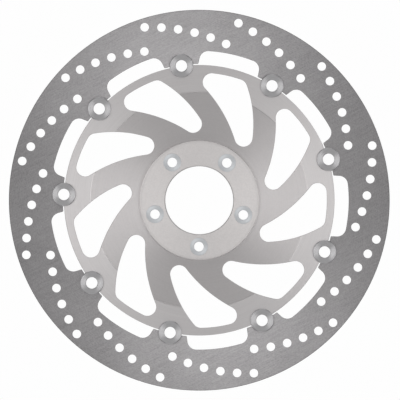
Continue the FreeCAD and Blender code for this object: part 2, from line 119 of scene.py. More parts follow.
BOBBIN_HOLE, SHANK_RADIUS, FLANGE_RADIUS, GROOVE_RADIUS = 4.8, 7.95, 9.85, 7.55
GROOVE_WIDTH = 1.1
WASHER_INNER, WASHER_OUTER = 8.05, 10.0
SPRING_INNER, SPRING_OUTER, SPRING_STRIP, SPRING_WAVES = 8.15, 9.8, 0.4, 3
CLIP_INNER, CLIP_OUTER, CLIP_OFFSET, CLIP_GAP = 7.6, 9.6, 0.35, 2.4
EAR_DISTANCE, EAR_SPREAD, EAR_RADIUS, EAR_HOLE = 9.3, 2.9, 1.7, 0.85


# ---------------------------------------------------------------- outlines in the XZ plane


def spots(radius, degrees, centre=(0.0, 0.0)):
    """Points on a circle at several angles."""
    turn = np.radians(degrees)
    return np.column_stack([centre[0] + radius * np.cos(turn), centre[1] + radius * np.sin(turn)])


def spot(radius, degrees):
    return spots(radius, np.array([degrees]))[0]


def circle(centre, radius, steps):
    return spots(radius, np.arange(steps) * 360 / steps, centre)


def arc(centre, radius, start, end, step):
    """Points from one angle to another, both ends included, at most step degrees apart."""
    count = max(2, math.ceil(abs(end - start) / step) + 1)
    return spots(radius, np.linspace(start, end, count), centre)


def turned(points, degrees):
    cosine, sine = math.cos(math.radians(degrees)), math.sin(math.radians(degrees))
    return points @ np.array([[cosine, sine], [-sine, cosine]])


def bearing(centre, point):
    return math.degrees(math.atan2(point[1] - centre[1], point[0] - centre[0]))


def meeting_point(centre_a, radius_a, centre_b, radius_b, near):
    """Where two circles meet, on the side nearer to a point."""
    centre_a, centre_b = np.array(centre_a, float), np.array(centre_b, float)
    between = centre_b - centre_a
    apart = np.linalg.norm(between)
    along = (radius_a ** 2 - radius_b ** 2 + apart ** 2) / (2 * apart)
    across = math.sqrt(radius_a ** 2 - along ** 2)
    side = across * np.array([-between[1], between[0]]) / apart
    foot = centre_a + along * between / apart
    return min((foot + side, foot - side), key=lambda point: np.linalg.norm(point - near))


def closed(parts):
    """One closed loop from runs of points, with no two neighbours in the same place."""
    points = np.vstack(parts)
    apart = np.linalg.norm(points - np.roll(points, 1, axis=0), axis=1)
    return points[apart > 1e-4]


def lug_outline():
    """The ring's inner outline, anticlockwise: lugs with half-round seats, and slots between them."""
    # The small round in a lug's corner touches the lug's inner arc and the slot's side.
    corner_x = SLOT_HALF_WIDTH + LUG_CORNER
    corner = np.array([corner_x, math.sqrt((LUG_RADIUS + LUG_CORNER) ** 2 - corner_x ** 2)])
    corner_at = bearing((0, 0), corner)
    # The round in a slot's outer corner touches the roof and the same side.
    roof_x = SLOT_HALF_WIDTH - SLOT_CORNER
    roof = np.array([roof_x, math.sqrt((SLOT_RADIUS - SLOT_CORNER) ** 2 - roof_x ** 2)])
    roof_at = bearing((0, 0), roof)
    mirror = np.array([-1, 1])
    # One slot with its middle straight up, from its right side over its roof to its left side.
    slot = np.vstack([
        arc(corner, LUG_CORNER, corner_at - 180, -180, 15),
        arc(roof, SLOT_CORNER, 0, roof_at, 6),
        arc((0, 0), SLOT_RADIUS, roof_at, 180 - roof_at, 1),
        arc(roof * mirror, SLOT_CORNER, 180 - roof_at, 180, 6),
        arc(corner * mirror, LUG_CORNER, 0, -corner_at, 15),
    ])
    # One lug with its bobbin straight up, from its right side to its left side.
    bobbin = (0, BOBBIN_CIRCLE)
    edge = meeting_point((0, 0), LUG_RADIUS, bobbin, SEAT_RADIUS, (SEAT_RADIUS, BOBBIN_CIRCLE))
    edge_at, seat_at = bearing((0, 0), edge), bearing(bobbin, edge)
    side_at = 90 - BOBBIN_PITCH / 2 + 90 - corner_at
    lug = np.vstack([
        arc((0, 0), LUG_RADIUS, side_at, edge_at, 1),
        arc(bobbin, SEAT_RADIUS, seat_at, 180 - seat_at, 4),
        arc((0, 0), LUG_RADIUS, 180 - edge_at, 180 - side_at, 1),
    ])
    parts = []
    for index in range(BOBBINS):
        turn = BOBBIN_ANGLE - 90 + index * BOBBIN_PITCH
        parts += [turned(lug, turn), turned(slot, turn + BOBBIN_PITCH / 2)]
    return closed(parts)


def drill_holes():
    """Slanted rows of holes, evenly spaced along the row, with each hole a step further out."""
    holes = []
    radius, angle = DRILL_FIRST, DRILL_ANGLE
    for _ in range(DRILLS_PER_ROW):
        for row in range(DRILL_ROWS):
            holes.append(circle(spot(radius, angle + row * 360 / DRILL_ROWS), DRILL_RADIUS, 48))
        further = radius + DRILL_STEP
        cosine = (radius ** 2 + further ** 2 - DRILL_SPACING ** 2) / (2 * radius * further)
        radius, angle = further, angle + math.degrees(math.acos(cosine))
    return holes


def rim_outline():
    """The carrier's outer outline, anticlockwise, with a half-round seat at each bobbin."""
    bobbin = (0, BOBBIN_CIRCLE)
    edge = meeting_point((0, 0), RIM_RADIUS, bobbin, SEAT_RADIUS, (SEAT_RADIUS, BOBBIN_CIRCLE))
    edge_at, seat_at = bearing((0, 0), edge), bearing(bobbin, edge)
    one = np.vstack([
        arc(bobbin, SEAT_RADIUS, seat_at, -180 - seat_at, 4),
        arc((0, 0), RIM_RADIUS, 180 - edge_at, BOBBIN_PITCH + edge_at, 0.8),
    ])
    return closed([turned(one, BOBBIN_ANGLE - 90 + index * BOBBIN_PITCH) for index in range(BOBBINS)])


def window_outline():
    """One swept window, anticlockwise, with its bobbin straight up.

    It lies inside the outer circle and inside the leading spoke's circle, and outside the
    trailing spoke's circle, and its three corners are rounded.
    """
    origin, lead, trail = np.zeros(2), spot(*LEAD_CENTRE), spot(*TRAIL_CENTRE)
    top = spot(WINDOW_RADIUS, LEAD_CENTRE[1] / 2)
    roof_inset = WINDOW_RADIUS - WINDOW_CORNER
    lead_inset, trail_inset = LEAD_RADIUS - WINDOW_CORNER, TRAIL_RADIUS + WINDOW_CORNER
    lead_corner = meeting_point(origin, roof_inset, lead, lead_inset, top)
    trail_corner = meeting_point(origin, roof_inset, trail, trail_inset, top)
    tip = meeting_point(lead, lead_inset, trail, trail_inset, top)

    def sweep(centre, radius, start, end, step):
        """An anticlockwise arc between two bearings."""
        return arc(centre, radius, start, start + (end - start) % 360, step)

    return closed([
        sweep(origin, WINDOW_RADIUS, bearing(origin, lead_corner), bearing(origin, trail_corner), 1),
        sweep(trail_corner, WINDOW_CORNER, bearing(origin, trail_corner),
              bearing(trail_corner, trail), 6),
        sweep(trail, TRAIL_RADIUS, bearing(trail, tip), bearing(trail, trail_corner), 1)[::-1],
        sweep(tip, WINDOW_CORNER, bearing(tip, trail), bearing(lead, tip), 6),
        sweep(lead, LEAD_RADIUS, bearing(lead, tip), bearing(lead, lead_corner), 1),
        sweep(lead_corner, WINDOW_CORNER, bearing(lead, lead_corner), bearing(origin, lead_corner), 6),
    ])


def clip_ear():
    return np.array([math.sqrt(EAR_DISTANCE ** 2 - EAR_SPREAD ** 2), EAR_SPREAD])


def clip_outline():
    """A circlip's outline, anticlockwise, with its gap towards +X and an ear on each side of it."""
    disc, ear = np.array([-CLIP_OFFSET, 0]), clip_ear()
    low = meeting_point(disc, CLIP_OUTER, ear, EAR_RADIUS, (CLIP_OUTER, 0))
    high = meeting_point(disc, CLIP_OUTER, ear, EAR_RADIUS, (0, CLIP_OUTER))
    half_gap = CLIP_GAP / 2
    corner = disc + (math.sqrt(CLIP_OUTER ** 2 - half_gap ** 2), half_gap)
    ear_arc = arc(ear, EAR_RADIUS, bearing(ear, low), bearing(ear, high), 8)
    back = bearing(disc, high)
    mouth = math.degrees(math.asin(half_gap / CLIP_INNER))
    mirror = np.array([1, -1])
    return closed([
        [corner],
        ear_arc,
        arc(disc, CLIP_OUTER, back, 360 - back, 4),
        ear_arc[::-1] * mirror,
        [corner * mirror],
        arc((0, 0), CLIP_INNER, -mouth, mouth - 360, 4),
    ])


# ---------------------------------------------------------------- surfaces


def oriented(loop, anticlockwise):
    following = np.roll(loop, -1, axis=0)
    area = (loop[:, 0] * following[:, 1] - loop[:, 1] * following[:, 0]).sum()
    return loop if (area > 0) == anticlockwise else loop[::-1]


def inset(loop, width):
    """A closed loop moved to its left by a width."""
    ahead = np.roll(loop, -1, axis=0) - loop
    ahead /= np.linalg.norm(ahead, axis=1)[:, None]
    left = np.column_stack([-ahead[:, 1], ahead[:, 0]])
    before = np.roll(left, 1, axis=0)
    return loop + width * (left + before) / (1 + (left * before).sum(axis=1))[:, None]


def within(points, loops):
    """Which points lie inside an odd number of the loops."""
    x, z = points[:, :1], points[:, 1:]
    odd = np.zeros(len(points), bool)
    for loop in loops:
        x0, z0 = loop.T
        x1, z1 = np.roll(loop, -1, axis=0).T
        spans = (z0 > z) != (z1 > z)
        crossing = x0 + (z - z0) * (x1 - x0) / np.where(z1 == z0, 1, z1 - z0)
        odd ^= (spans & (x < crossing)).sum(axis=1) % 2 == 1
    return odd


def cap(loops, rings):
    """Triangles between the loops, cut along concentric rings, with the material on each loop's left.

    Returns the points, the triangles and, for each loop, the numbers of its points in order.
    """
    runs = loops + rings
    starts = np.cumsum([0] + [len(run) for run in runs])
    edges = [(start + index, start + (index + 1) % len(run))
             for start, run in zip(starts, runs) for index in range(len(run))]
    corners = [Vector(point) for point in np.vstack(runs)]
    points, _, faces, sources, _, _ = delaunay_2d_cdt(corners, edges, [], 0, 1e-6)
    points, faces = np.array([tuple(point) for point in points]), np.array(faces)
    faces = faces[within(points[faces].mean(axis=1), loops)]

    sides = {(a, b) for face in faces.tolist() for a, b in zip(face, face[1:] + face[:1])}
    following = {a: b for a, b in sides if (b, a) not in sides}
    number = {source: index for index, group in enumerate(sources) for source in group}
    rims = []
    for start in starts[:len(loops)]:
        rim = [number[start]]
        while following[rim[-1]] != rim[0]:
            rim.append(following[rim[-1]])
        rims.append(rim)
    return points, faces, rims


def strip(front, back):
    """Quads between two rows of point numbers round a loop, facing away from the material."""
    return list(zip(front, back, np.roll(back, -1), np.roll(front, -1)))


def flat(height):
    """The profile of a flat face, further out than the disc reaches."""
    return [(0, height), (200, height)]


def plate(outlines, front, back, breaks, rings=()):
    """The surface of a plate with a front and a back height that vary only with the radius.

    The first outline is the outer edge and the others are holes. Each outline has one width of
    45-degree edge break. The rings are the radii where a height bends.
    """
    outlines = [oriented(outline, index == 0) for index, outline in enumerate(outlines)]
    loops = [inset(outline, width) for outline, width in zip(outlines, breaks)]
    points, triangles, rims = cap(loops, [circle((0, 0), radius, 360) for radius in rings])
    radii = np.hypot(*points.T)
    fronts, backs = (np.interp(radii, *np.array(shape).T) for shape in (front, back))

    def lifted(spread, high):
        return np.column_stack([spread[:, 0], high, spread[:, 1]])

    corners = [lifted(points, fronts), lifted(points, backs)]
    faces = triangles.tolist() + (triangles[:, ::-1] + len(points)).tolist()
    count = 2 * len(points)
    for rim, width in zip(rims, breaks):
        rim = np.array(rim)
        if width:
            edge = inset(points[rim], -width)
            corners += [lifted(edge, fronts[rim] - width), lifted(edge, backs[rim] + width)]
            wall_front = np.arange(count, count + len(rim))
            wall_back = wall_front + len(rim)
            count += 2 * len(rim)
            faces += strip(rim, wall_front) + strip(wall_front, wall_back)
            faces += strip(wall_back, rim + len(points))
        else:
            faces += strip(rim, rim + len(points))
    return np.vstack(corners), faces


def eased(profile, roundings, steps=4):
    """A closed profile with some corners rounded, given as {corner number: radius}."""
    points = []
    for index, corner in enumerate(profile):
        corner = np.array(corner, float)
        if index not in roundings:
            points.append(corner)
            continue
        to_last = np.array(profile[index - 1]) - corner
        to_next = np.array(profile[(index + 1) % len(profile)]) - corner
        to_last /= np.linalg.norm(to_last)
        to_next /= np.linalg.norm(to_next)
        half = math.acos(np.clip(to_last @ to_next, -1, 1)) / 2
        middle = (to_last + to_next) / np.linalg.norm(to_last + to_next)
        centre = corner + middle * roundings[index] / math.sin(half)
        first = corner + to_last * roundings[index] / math.tan(half) - centre
        last = corner + to_next * roundings[index] / math.tan(half) - centre
        swing = math.acos(np.clip(first @ last / roundings[index] ** 2, -1, 1))
        for step in range(steps + 1):
            share = step / steps
            point = first * math.sin((1 - share) * swing) + last * math.sin(share * swing)
            points.append(centre + point / math.sin(swing))
    return np.array(points)


def lathe(profile, steps, sway=0.0, waves=0):
    """A closed profile of (radius, height) points turned round the Y axis, with waves if asked.

    The profile runs up its inner side, out along its front and down its outer side.
    """
    turn = np.arange(steps) * 2 * math.pi / steps
    corners = [np.column_stack([radius * np.cos(turn), height + sway * np.cos(waves * turn),
                                radius * np.sin(turn)]) for radius, height in profile]
    faces = []
    for index in range(len(profile)):
        here = np.arange(steps) + index * steps
        there = np.arange(steps) + (index + 1) % len(profile) * steps
        faces += list(zip(here, there, np.roll(there, -1), np.roll(here, -1)))
    return np.vstack(corners), faces


def placed(surface, angle, radius):
    """A surface moved out from the disc's axis and turned to an angle."""
    points, faces = surface
    spread = turned(points[:, [0, 2]] + (radius, 0), angle)
    return np.column_stack([spread[:, 0], points[:, 1], spread[:, 1]]), faces


# ---------------------------------------------------------------- finishes


class Finish:
    """A metal made of shader nodes. Sizes in its patterns are in metres."""

    # Nearly all of a noise pattern's values lie between these two.
    LOW, HIGH = 0.3, 0.7

    def __init__(self, name, anisotropy=0.0, turn=0.0):
        self.material = bpy.data.materials.new(name)
        self.material.use_nodes = True
        self.tree = self.material.node_tree
        self.shader = self.tree.nodes["Principled BSDF"]
        self.shader.inputs["Metallic"].default_value = 1.0
        self.place = self.add("ShaderNodeTexCoord", {}).outputs["Object"]
        if anisotropy:
            # The tangent runs round the piece's own axis, and the turn is a share of a full turn.
            tangent = self.add("ShaderNodeTangent", {}, direction_type="RADIAL", axis="Y")
            self.connect(tangent.outputs[0], "Tangent")
            self.shader.inputs["Anisotropic"].default_value = anisotropy
            self.shader.inputs["Anisotropic Rotation"].default_value = turn

    def add(self, kind, inputs, **settings):
        node = self.tree.nodes.new(kind)
        for name, value in settings.items():
            setattr(node, name, value)
        for socket, value in inputs.items():
            if isinstance(value, bpy.types.NodeSocket):
                self.tree.links.new(value, node.inputs[socket])
            else:
                node.inputs[socket].default_value = value
        return node

    def connect(self, output, socket):
        self.tree.links.new(output, self.shader.inputs[socket])

    def math(self, operation, first, second=0.0):
        return self.add("ShaderNodeMath", {0: first, 1: second}, operation=operation).outputs[0]

    def noise(self, place, scale, detail=2.0):
        node = self.add("ShaderNodeTexNoise", {"Vector": place, "Scale": scale, "Detail": detail})
        return node.outputs[0]

    def centred(self, width):
        """Where a point is from the middle of its own round piece, which is that wide."""
        generated = self.tree.nodes["Texture Coordinate"].outputs["Generated"]
        middle = self.add("ShaderNodeVectorMath", {0: generated, 1: (0.5, 0.5, 0.5)},
                          operation="SUBTRACT")
        scaled = self.add("ShaderNodeVectorMath", {0: middle.outputs[0], 1: (width, 0, width)},
                          operation="MULTIPLY")
        return scaled.outputs[0]

    def radius(self, place):
        """How far a place is from the Y axis."""
        spread = self.add("ShaderNodeVectorMath", {0: place, 1: (1, 0, 1)}, operation="MULTIPLY")
        length = self.add("ShaderNodeVectorMath", {0: spread.outputs[0]}, operation="LENGTH")
        return length.outputs["Value"]

    def turned_lines(self, place, spacing, length):
        """Streaks round the axis, about one spacing apart and one length long."""
        parts = self.add("ShaderNodeSeparateXYZ", {0: place})
        lines = self.add("ShaderNodeCombineXYZ", {
            0: self.math("DIVIDE", parts.outputs[0], length),
            1: self.math("DIVIDE", self.radius(place), spacing),
            2: self.math("DIVIDE", parts.outputs[2], length)})
        return self.noise(lines.outputs[0], scale=1.0)

    def straight_lines(self, slope, spacing, length):
        """Streaks at a slope in the XZ plane, about one spacing apart and one length long."""
        lines = self.add("ShaderNodeMapping", {
            "Vector": self.place, "Rotation": (0, -math.radians(slope), 0),
            "Scale": (length, 1, spacing)}, vector_type="TEXTURE")
        return self.noise(lines.outputs[0], scale=1.0)

    def mixed(self, share, first, second):
        node = self.add("ShaderNodeMix", {"Factor": share, "A": first, "B": second}, data_type="FLOAT")
        return node.outputs[0]

    def colours(self, share, dark, light, strength=1.0):
        """A colour between two others, made lighter or darker by a strength."""
        ramp = self.add("ShaderNodeValToRGB", {0: share})
        for stop, place, colour in zip(ramp.color_ramp.elements, (self.LOW, self.HIGH), (dark, light)):
            stop.position = place
            stop.color = (*colour, 1)
        scaled = self.add("ShaderNodeVectorMath", {0: ramp.outputs[0], "Scale": strength},
                          operation="SCALE")
        self.connect(scaled.outputs[0], "Base Color")

    def by_radius(self, start, end, first, last):
        """A strength that goes smoothly from one value to another between two radii."""
        return self.add("ShaderNodeMapRange", {
            "Value": self.radius(self.place), "From Min": start * MM, "From Max": end * MM,
            "To Min": first, "To Max": last}, interpolation_type="SMOOTHSTEP").outputs[0]

    def roughness(self, share, low, high):
        ranged = self.add("ShaderNodeMapRange", {
            "Value": share, "From Min": self.LOW, "From Max": self.HIGH, "To Min": low, "To Max": high})
        self.connect(ranged.outputs[0], "Roughness")

    def relief(self, height, depth, strength=1.0):
        bump = self.add("ShaderNodeBump", {"Height": height, "Distance": depth, "Strength": strength})
        self.connect(bump.outputs[0], "Normal")


def drilled_wall(name, colour, low, high):
    """A drilled or turned wall: fine tool lines round it, each at its own height."""
    finish = Finish(name)
    parts = finish.add("ShaderNodeSeparateXYZ", {0: finish.place})
    spacing, wander = 0.00022, 0.02
    lines = finish.add("ShaderNodeCombineXYZ", {
        0: finish.math("DIVIDE", parts.outputs[0], wander),
        1: finish.math("DIVIDE", parts.outputs[1], spacing),
        2: finish.math("DIVIDE", parts.outputs[2], wander)})
    speckle = finish.noise(finish.place, scale=900.0)
    tone = finish.mixed(0.25, finish.noise(lines.outputs[0], scale=1.0), speckle)
    finish.colours(tone, *shades(colour, 0.16))
    finish.roughness(tone, low, high)
    finish.relief(tone, depth=0.000008, strength=0.6)
    return finish.material


def profiled_wall(name, colour, low, high):
    """A wall cut along its outline: fine lines that run down it, from front to back."""
    finish = Finish(name)
    spacing, length = 0.00045, 0.006
    lines = finish.add("ShaderNodeMapping", {
        "Vector": finish.place, "Scale": (spacing, length, spacing)}, vector_type="TEXTURE")
    speckle = finish.noise(finish.place, scale=900.0)
    tone = finish.mixed(0.25, finish.noise(lines.outputs[0], scale=1.0), speckle)
    finish.colours(tone, *shades(colour, 0.16))
    finish.roughness(tone, low, high)
    finish.relief(tone, depth=0.00001, strength=0.6)
    return finish.material


def shades(colour, spread):
    """A colour a little darker and a little lighter."""
    return [tuple(part * (1 + side * spread) for part in colour) for side in (-1, 1)]


def ground_steel():
    """The ring's stainless steel: fine lines round the ring, crossed by straight grinding lines."""
    finish = Finish("ground_steel", anisotropy=0.66, turn=-0.028)
    straight = finish.straight_lines(slope=26.6, spacing=0.0006, length=0.02)
    round_lines = finish.turned_lines(finish.place, spacing=0.0008, length=0.0015)
    crossed = finish.mixed(0.57, straight, round_lines)
    # The ring is a little lighter inwards and darker outwards of this radius.
    plain_radius, lightening = 0.150, 2.2
    inwards = finish.math("SUBTRACT", plain_radius, finish.radius(finish.place))
    inwards = finish.math("MULTIPLY", inwards, lightening)
    blotch = finish.noise(finish.place, scale=30.0)
    tone = finish.math("ADD", finish.mixed(0.15, crossed, blotch), inwards)
    finish.colours(tone, *shades((0.351, 0.341, 0.346), 0.3))
    finish.roughness(crossed, 0.46, 0.54)
    finish.relief(crossed, depth=0.000004, strength=0.6)
    return finish.material


def turned_alloy(name, colour, low, high, anisotropy, grain, edge=None):
    """Aluminium off the lathe: fine lines round the axis under a slight grain, and an optional band of
    painted light and shade by radius.
    """
    finish = Finish(name, anisotropy=anisotropy, turn=0.242)
    lines = finish.turned_lines(finish.place, spacing=0.0006, length=0.05)
    speckle = finish.noise(finish.place, scale=900.0)
    tone = finish.mixed(grain, lines, speckle)
    # The edge band scales the base colour between two radii: painted shade where it drops below 1,
    # painted light where it rises above 1.
    strength = finish.by_radius(*edge) if edge else 1.0
    finish.colours(tone, *shades(colour, 0.05), strength)
    finish.roughness(tone, low, high)
    finish.relief(tone, depth=0.000003, strength=0.5)
    return finish.material


def turned_steel(name, colour, low, high, width, anisotropy, turn, spacing):
    """A small round piece off the lathe, with lines round its own axis."""
    finish = Finish(name, anisotropy=anisotropy, turn=turn)
    place = finish.centred(width)
    lines = finish.turned_lines(place, spacing=spacing, length=0.01)
    speckle = finish.noise(finish.place, scale=1500.0)
    tone = finish.mixed(0.3, lines, speckle)
    finish.colours(tone, *shades(colour, 0.08))
    finish.roughness(tone, low, high)
    finish.relief(lines, depth=0.000004, strength=0.5)
    return finish.material


def plain_metal(name, colour, low, high):
    """A rolled or coated metal, or a broken edge, with a fine grain and faint blotches."""
    finish = Finish(name)
    speckle = finish.noise(finish.place, scale=1200.0, detail=3.0)
    blotch = finish.noise(finish.place, scale=160.0)
    tone = finish.mixed(0.4, speckle, blotch)
    finish.colours(tone, *shades(colour, 0.15))
    finish.roughness(tone, low, high)
    finish.relief(speckle, depth=0.000006, strength=0.5)
    return finish.material


# ---------------------------------------------------------------- pieces


# How much of a face's direction is forwards or backwards: a wall's is less than the first number,
# and a broken edge's, at 45 degrees, lies between the two.
WALL_FACING, EDGE_FACING = 0.3, 0.76


def piece(name, surface, materials, body, node, zones=None, sharp=28):
    """A piece of the disc that stands for one CAD node and rides with its body."""
    points, faces = surface
    rows = np.column_stack([points[:, 0], -points[:, 1], points[:, 2]]) * MM
    mesh = bpy.data.meshes.new(name)
    mesh.from_pydata(rows.tolist(), [], [tuple(int(corner) for corner in face) for face in faces])
    mesh.validate()
    for material in materials:
        mesh.materials.append(material)
    mesh.shade_smooth()
    mesh.set_sharp_from_angle(angle=math.radians(sharp))
    if zones:
        for polygon in mesh.polygons:
            radius = math.hypot(polygon.center.x, polygon.center.z) / MM
            polygon.material_index = zones(radius, -polygon.normal.y)
    thing = bpy.data.objects.new(name, mesh)
    bpy.context.scene.collection.objects.link(thing)
    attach(thing, body)
    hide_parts(node)
    return thing


def make_ring(materials):
    """The ring's two ground faces, its turned and drilled walls, its cut slots and its broken edges."""
    holes = drill_holes()
    outlines = [circle((0, 0), RING_RADIUS, 720), lug_outline(), *holes]
    drill_edge = 0.15
    breaks = [RING_EDGE, RING_EDGE / 2] + [drill_edge] * len(holes)
    surface = plate(outlines, flat(RING_FRONT), flat(RING_BACK), breaks)
    face, turned_wall, cut_wall, broken_edge = range(len(materials))

    def zone(radius, facing):
        if abs(facing) > EDGE_FACING:
            return face
        if abs(facing) > WALL_FACING:
            return broken_edge
        return turned_wall if radius > SLOT_RADIUS + 1 else cut_wall

    piece("disc_ring", surface, materials, "ring", "friction_ring", zones=zone)


def make_carrier(materials):
    """The hub, the web and the rim, in one plate whose front and back step with the radius."""
    window = window_outline()
    windows = [turned(window, BOBBIN_ANGLE - 90 + index * BOBBIN_PITCH) for index in range(BOBBINS)]
    bolts = [circle(spot(BOLT_CIRCLE, BOLT_ANGLE + index * 360 / BOLTS), BUSH_RADIUS, 64)
             for index in range(BOLTS)]
    outlines = [rim_outline(), circle((0, 0), BORE_RADIUS, 240), *bolts, *windows]
    rim_edge, window_edge = 0.25, 0.3
    breaks = [rim_edge, BORE_CHAMFER] + [0.0] * BOLTS + [window_edge] * BOBBINS

    # The hub's side leans out by a hair, because a plate's height can't jump.
    sheer = 0.02
    round_start, foot_end = HUB_RADIUS - HUB_ROUND, HUB_RADIUS + sheer + HUB_FOOT
    front = [(0, HUB_FRONT)]
    for lean in np.radians(np.linspace(0, 90, 9)):
        front.append((round_start + HUB_ROUND * math.sin(lean),
                      HUB_FRONT - HUB_ROUND * (1 - math.cos(lean))))
    for lean in np.radians(np.linspace(90, 0, 7)):
        front.append((foot_end - HUB_FOOT * math.sin(lean), WEB_FRONT + HUB_FOOT * (1 - math.cos(lean))))
    for share in np.linspace(0, 1, 9):
        front.append((STEP_RADIUS + STEP_SLOPE * share,
                      WEB_FRONT + (RING_FRONT - WEB_FRONT) * share ** 2 * (3 - 2 * share)))
    front.append((200, RING_FRONT))
    back = [(0, HUB_BACK), (HUB_RADIUS - HUB_BACK_EDGE, HUB_BACK), (HUB_RADIUS, RING_BACK),
            (200, RING_BACK)]
    # Extra rings of points hold the flat faces flat next to a bend.
    guard = 0.25
    guards = [round_start - guard, foot_end + guard, STEP_RADIUS - guard,
              STEP_RADIUS + STEP_SLOPE + guard]
    bends = {round(radius, 3) for radius, _ in front[1:-1] + back[1:-1]}
    surface = plate(outlines, front, back, breaks, sorted(bends) + guards)
    hub, web, rim, wall, broken_edge = range(len(materials))

    def zone(radius, facing):
        off_the_hub_edge = abs(radius - HUB_RADIUS) > HUB_ROUND + HUB_FOOT
        if WALL_FACING < abs(facing) < EDGE_FACING and off_the_hub_edge:
            return broken_edge
        if radius < HUB_RADIUS + sheer / 2:
            return hub
        if abs(facing) < WALL_FACING:
            return wall
        return web if facing < 0 or radius < STEP_RADIUS + STEP_SLOPE / 2 else rim

    piece("disc_carrier", surface, materials, "carrier", "carrier", zones=zone)


def make_bushes(material):
    """A bush in each of the hub's bolt holes."""
    mouth, edge = 0.3, 0.15
    profile = eased([
        (BOLT_HOLE_RADIUS, HUB_BACK), (BOLT_HOLE_RADIUS, HUB_FRONT - mouth),
        (BOLT_HOLE_RADIUS + mouth, HUB_FRONT), (BUSH_RADIUS - edge, HUB_FRONT),
        (BUSH_RADIUS, HUB_FRONT - edge), (BUSH_RADIUS, HUB_BACK)], {2: 0.1, 3: 0.08})
    surface = lathe(profile, 96)
    for index in range(BOLTS):
        angle = BOLT_ANGLE + index * 360 / BOLTS
        piece(f"bush_{index + 1}", placed(surface, angle, BOLT_CIRCLE), [material], "carrier",
              f"bolt_bush_{index + 1}")


def make_buttons(button, spring, washer, clip):
    """At each bobbin, the parts that turn with it."""
    mouth, edge, tail = 0.6, 0.6, 0.4
    groove_back = CLIP_BACK - (GROOVE_WIDTH - (CLIP_FRONT - CLIP_BACK))
    button_surface = lathe(eased([
        (BOBBIN_HOLE, BOBBIN_BACK + tail), (BOBBIN_HOLE, BOBBIN_FRONT - mouth),
        (BOBBIN_HOLE + mouth, BOBBIN_FRONT), (FLANGE_RADIUS - edge, BOBBIN_FRONT),
        (FLANGE_RADIUS, BOBBIN_FRONT - edge), (FLANGE_RADIUS, RING_FRONT),
        (SHANK_RADIUS, RING_FRONT), (SHANK_RADIUS, WASHER_BACK), (GROOVE_RADIUS, WASHER_BACK),
        (GROOVE_RADIUS, groove_back), (SHANK_RADIUS, groove_back), (SHANK_RADIUS, BOBBIN_BACK + tail),
        (SHANK_RADIUS - tail, BOBBIN_BACK), (BOBBIN_HOLE + tail, BOBBIN_BACK),
    ], {2: 0.2, 3: 0.25, 4: 0.2, 5: 0.1, 12: 0.15, 13: 0.15}), 128)

    stamped_edge = 0.2
    washer_surface = lathe(eased([
        (WASHER_INNER, WASHER_BACK), (WASHER_INNER, WASHER_FRONT), (WASHER_OUTER, WASHER_FRONT),
        (WASHER_OUTER, WASHER_BACK)], {2: stamped_edge, 3: stamped_edge}), 128)

    middle = (SPRING_BACK + SPRING_FRONT) / 2
    low, high = middle - SPRING_STRIP / 2, middle + SPRING_STRIP / 2
    sway = (SPRING_FRONT - SPRING_BACK - SPRING_STRIP) / 2
    fine_edge = 0.08
    spring_surface = lathe(eased([
        (SPRING_INNER, low), (SPRING_INNER, high), (SPRING_OUTER, high), (SPRING_OUTER, low)],
        dict.fromkeys(range(4), fine_edge), steps=2), 120, sway=sway, waves=SPRING_WAVES)

    ear, steps = clip_ear(), 24
    eyes = [circle(ear * side, EAR_HOLE, steps) for side in ((1, 1), (1, -1))]
    clip_surface = plate([clip_outline(), *eyes], flat(CLIP_FRONT), flat(CLIP_BACK), [fine_edge] * 3)

    for index in range(BOBBINS):
        angle, body = BOBBIN_ANGLE + index * BOBBIN_PITCH, f"bobbin_{index + 1}"

        def here(surface):
            return placed(surface, angle, BOBBIN_CIRCLE)

        piece(f"button_{index + 1}", here(button_surface), [button], body, body)
        piece(f"washer_{index + 1}", here(washer_surface), [washer], body,
              f"flat_washer_{index + 1}")
        piece(f"clip_{index + 1}", here(clip_surface), [clip], body, f"circlip_{index + 1}")
        wavy = piece(f"spring_{index + 1}", here(spring_surface), [spring], body,
                     f"wave_washer_{index + 1}", sharp=60)
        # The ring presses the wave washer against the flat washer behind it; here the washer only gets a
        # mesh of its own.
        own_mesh(wavy)


make_ring([
    ground_steel(),
    drilled_wall("turned_wall", (0.40, 0.39, 0.395), 0.34, 0.44),
    profiled_wall("cut_wall", (0.36, 0.35, 0.355), 0.42, 0.54),
    plain_metal("broken_steel_edge", (0.18, 0.175, 0.178), 0.5, 0.6)])
make_carrier([
    # The hub's base colour is 8% darker towards its rounded edge: painted shade standing in for the
    # rounding's shading.
    turned_alloy("satin_hub", (0.664, 0.64, 0.634), 0.5, 0.56, anisotropy=0.2, grain=0.8,
                 edge=(HUB_RADIUS - 3, HUB_RADIUS - 0.6, 1.0, 0.92)),
    # The web's base colour is 7% lighter next to the hub's foot: painted light that cancels the shade
    # under the hub's side.
    turned_alloy("turned_web", (0.527, 0.507, 0.507), 0.44, 0.5, anisotropy=0.69, grain=0.5,
                 edge=(HUB_RADIUS, HUB_RADIUS + 2.8, 1.07, 1.0)),
    turned_alloy("turned_rim", (0.60, 0.58, 0.58), 0.44, 0.5, anisotropy=0.48, grain=0.3),
    profiled_wall("milled_wall", (0.60, 0.585, 0.58), 0.38, 0.48),
    plain_metal("broken_alloy_edge", (0.5, 0.486, 0.482), 0.5, 0.6)])
make_bushes(
    turned_steel("blue_zinc", (0.600, 0.616, 0.634), 0.4, 0.46, width=2 * BUSH_RADIUS * MM,
                 anisotropy=0.4, turn=0.375, spacing=0.0006))
make_buttons(
    turned_steel("turned_button", (0.472, 0.466, 0.473), 0.32, 0.36, width=2 * FLANGE_RADIUS * MM,
                 anisotropy=0.9, turn=0.278, spacing=0.0005),
    plain_metal("spring_strip", (0.42, 0.42, 0.43), 0.28, 0.4),
    plain_metal("stamped_steel", (0.58, 0.58, 0.57), 0.3, 0.42),
    plain_metal("dark_phosphate", (0.06, 0.06, 0.065), 0.45, 0.6))


# ---------------------------------------------------------------- studio


BACKDROP_GLOW, WORLD_GLOW = 0.99, 0.46
